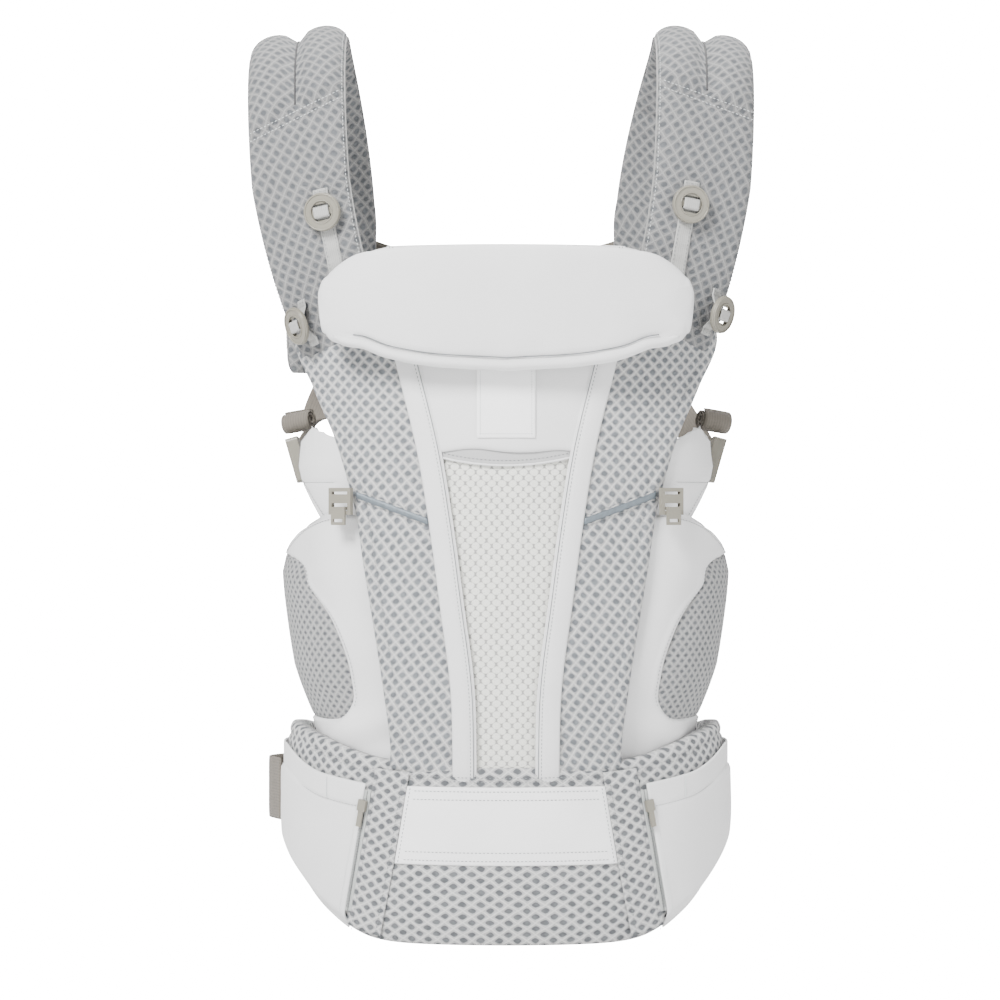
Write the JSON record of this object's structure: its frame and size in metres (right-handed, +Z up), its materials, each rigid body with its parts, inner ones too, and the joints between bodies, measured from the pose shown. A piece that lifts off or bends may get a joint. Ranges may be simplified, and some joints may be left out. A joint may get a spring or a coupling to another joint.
{
  "type": "soft baby carrier",
  "caption": "Soft baby carrier with a padded waist belt, curved mesh front panel, side wings, padded shoulder straps, fold-down head support and release buckles.",
  "frame": {"origin": "centre of the wearer's waist opening, level with the belt's lowest edge", "axes": "+Z up, the front panel faces -Y and the wearer stands behind it towards +Y; +X is to the right seen from the front"},
  "size_m": [0.4107, 0.3159, 0.7371],
  "materials": {
    "smooth_fabric": "woven, matt, pearl grey",
    "open_mesh": "spacer mesh with diamond cells, light grey",
    "fine_mesh": "fine scalloped knit, warm light grey",
    "foam": "open-cell foam",
    "label": "woven satin, white",
    "reflective": "reflective piping, blue grey",
    "zip_tape": "woven tape with coil teeth",
    "webbing": "woven webbing, taupe",
    "taupe_plastic": "satin moulded, taupe"
  },
  "bodies": {
    "carrier": {"belt_bands": "open_mesh", "belt_cover": "open_mesh", "belt_foam": "foam", "belt_webbing_left": "webbing", "button_tapes": "smooth_fabric", "centre_panel": "fine_mesh", "clip_frame_left": "taupe_plastic", "clip_frame_right": "taupe_plastic", "gore_left": "open_mesh", "gore_right": "open_mesh", "hood_pocket": "smooth_fabric", "hook_strip": "smooth_fabric", "label_patch": "label", "leg_pad_left": "open_mesh", "leg_pad_right": "open_mesh", "leg_wing_left": "smooth_fabric", "leg_wing_right": "smooth_fabric", "pocket_left": "smooth_fabric", "pocket_right": "smooth_fabric", "pocket_zips": "zip_tape", "reflective_piping": "reflective", "side_buckle_housing_left": "taupe_plastic", "side_buckle_housing_right": "taupe_plastic", "stowed_hood": "smooth_fabric", "strap_cover_left": "open_mesh", "strap_cover_right": "open_mesh", "strap_foam_left": "foam", "strap_foam_right": "foam", "trim_strips": "smooth_fabric", "upper_wing_left": "smooth_fabric", "upper_wing_right": "smooth_fabric", "waist_buckle_housing": "taupe_plastic"},
    "head_support": {"head_support_cover": "smooth_fabric", "head_support_foam": "foam"},
    "waist_plug": {"waist_buckle_plug": "taupe_plastic", "belt_webbing_right": "webbing"},
    "waist_prong_upper": {"waist_prong_upper": "taupe_plastic"},
    "waist_prong_lower": {"waist_prong_lower": "taupe_plastic"},
    "waist_button": {"waist_buckle_button": "taupe_plastic"},
    "chest_strap": {"chest_sliders": "taupe_plastic", "chest_webbing_left": "webbing", "chest_buckle_housing": "taupe_plastic", "chest_webbing_right": "webbing"},
    "chest_plug": {"chest_buckle_plug": "taupe_plastic"},
    "side_plug_left": {"side_buckle_plug_left": "taupe_plastic", "webbing_roll_left": "webbing", "shoulder_webbing_left": "webbing"},
    "upper_button_left": {"button_upper_left": "taupe_plastic"},
    "lower_button_left": {"button_lower_left": "taupe_plastic"},
    "clip_hook_left": {"clip_hook_left": "taupe_plastic"},
    "zip_slider_left": {"zip_slider_left": "taupe_plastic"},
    "side_plug_right": {"side_buckle_plug_right": "taupe_plastic", "webbing_roll_right": "webbing", "shoulder_webbing_right": "webbing"},
    "upper_button_right": {"button_upper_right": "taupe_plastic"},
    "lower_button_right": {"button_lower_right": "taupe_plastic"},
    "clip_hook_right": {"clip_hook_right": "taupe_plastic"},
    "zip_slider_right": {"zip_slider_right": "taupe_plastic"}
  },
  "joints": [
    {"name": "head_support_fold", "type": "hinge", "parent": "carrier", "child": "head_support", "pos_m": [0, -0.138, 0.546], "axis": [-1, 0, 0], "range_deg": [0, 150]},
    {"name": "waist_buckle_release", "type": "slide", "parent": "carrier", "child": "waist_plug", "axis": [1, 0, 0], "range_m": [0, 0.045], "deforming": ["belt_webbing_right"]},
    {"name": "waist_prong_squeeze", "type": "hinge", "parent": "waist_plug", "child": "waist_prong_upper", "pos_m": [-0.0004, 0.133, 0.1361], "axis": [0, -1, 0], "range_deg": [0, 5], "stiffness_Nm_per_rad": 0.05},
    {"name": "waist_prong_lower_squeeze", "type": "hinge", "parent": "waist_plug", "child": "waist_prong_lower", "pos_m": [-0.0004, 0.133, 0.0859], "axis": [0, -1, 0], "range_deg": [-5, 0], "stiffness_Nm_per_rad": 0.05},
    {"name": "waist_button_press", "type": "slide", "parent": "carrier", "child": "waist_button", "axis": [0, -1, 0], "range_m": [0, 0.0012], "stiffness_N_per_m": 400},
    {"name": "chest_strap_height", "type": "slide", "parent": "carrier", "child": "chest_strap", "axis": [0, 0, 1], "range_m": [-0.02, 0.03]},
    {"name": "chest_buckle_release", "type": "slide", "parent": "chest_strap", "child": "chest_plug", "axis": [1, 0, 0], "range_m": [0, 0.025], "deforming": ["chest_webbing_right"]},
    {"name": "side_buckle_release_left", "type": "slide", "parent": "carrier", "child": "side_plug_left", "axis": [0, 1, 0], "range_m": [0, 0.025], "deforming": ["shoulder_webbing_left"]},
    {"name": "side_buckle_release_right", "type": "slide", "parent": "carrier", "child": "side_plug_right", "axis": [0, 1, 0], "range_m": [0, 0.025], "deforming": ["shoulder_webbing_right"]},
    {"name": "upper_button_tilt_left", "type": "hinge", "parent": "carrier", "child": "upper_button_left", "pos_m": [-0.14336, -0.12177, 0.57255], "axis": [0.9387, -0.2866, 0.1915], "range_deg": [-10, 10], "stiffness_Nm_per_rad": 0.01},
    {"name": "lower_button_tilt_left", "type": "hinge", "parent": "carrier", "child": "lower_button_left", "pos_m": [-0.16402, -0.10758, 0.48442], "axis": [0.5275, -0.83, 0.1812], "range_deg": [-10, 10], "stiffness_Nm_per_rad": 0.01},
    {"name": "clip_hook_swing_left", "type": "hinge", "parent": "carrier", "child": "clip_hook_left", "pos_m": [-0.129, -0.1195, 0.338], "axis": [0.8387, -0.5446, 0], "range_deg": [-20, 20]},
    {"name": "zip_slide_left", "type": "slide", "parent": "carrier", "child": "zip_slider_left", "axis": [-0.1674, 0.105, -0.9803], "range_m": [0, 0.06]},
    {"name": "upper_button_tilt_right", "type": "hinge", "parent": "carrier", "child": "upper_button_right", "pos_m": [0.14422, -0.11965, 0.5788], "axis": [0.9493, 0.2707, -0.1596], "range_deg": [-10, 10], "stiffness_Nm_per_rad": 0.01},
    {"name": "lower_button_tilt_right", "type": "hinge", "parent": "carrier", "child": "lower_button_right", "pos_m": [0.16981, -0.10489, 0.49357], "axis": [0.5537, 0.8172, -0.1598], "range_deg": [-10, 10], "stiffness_Nm_per_rad": 0.01},
    {"name": "clip_hook_swing_right", "type": "hinge", "parent": "carrier", "child": "clip_hook_right", "pos_m": [0.129, -0.1195, 0.338], "axis": [0.8387, 0.5446, 0], "range_deg": [-20, 20]},
    {"name": "zip_slide_right", "type": "slide", "parent": "carrier", "child": "zip_slider_right", "axis": [0.1674, 0.105, -0.9803], "range_m": [0, 0.06]}
  ],
  "couplings": [
    {"joint": "waist_prong_lower_squeeze", "follows": "waist_prong_squeeze", "ratio": -1}
  ]
}
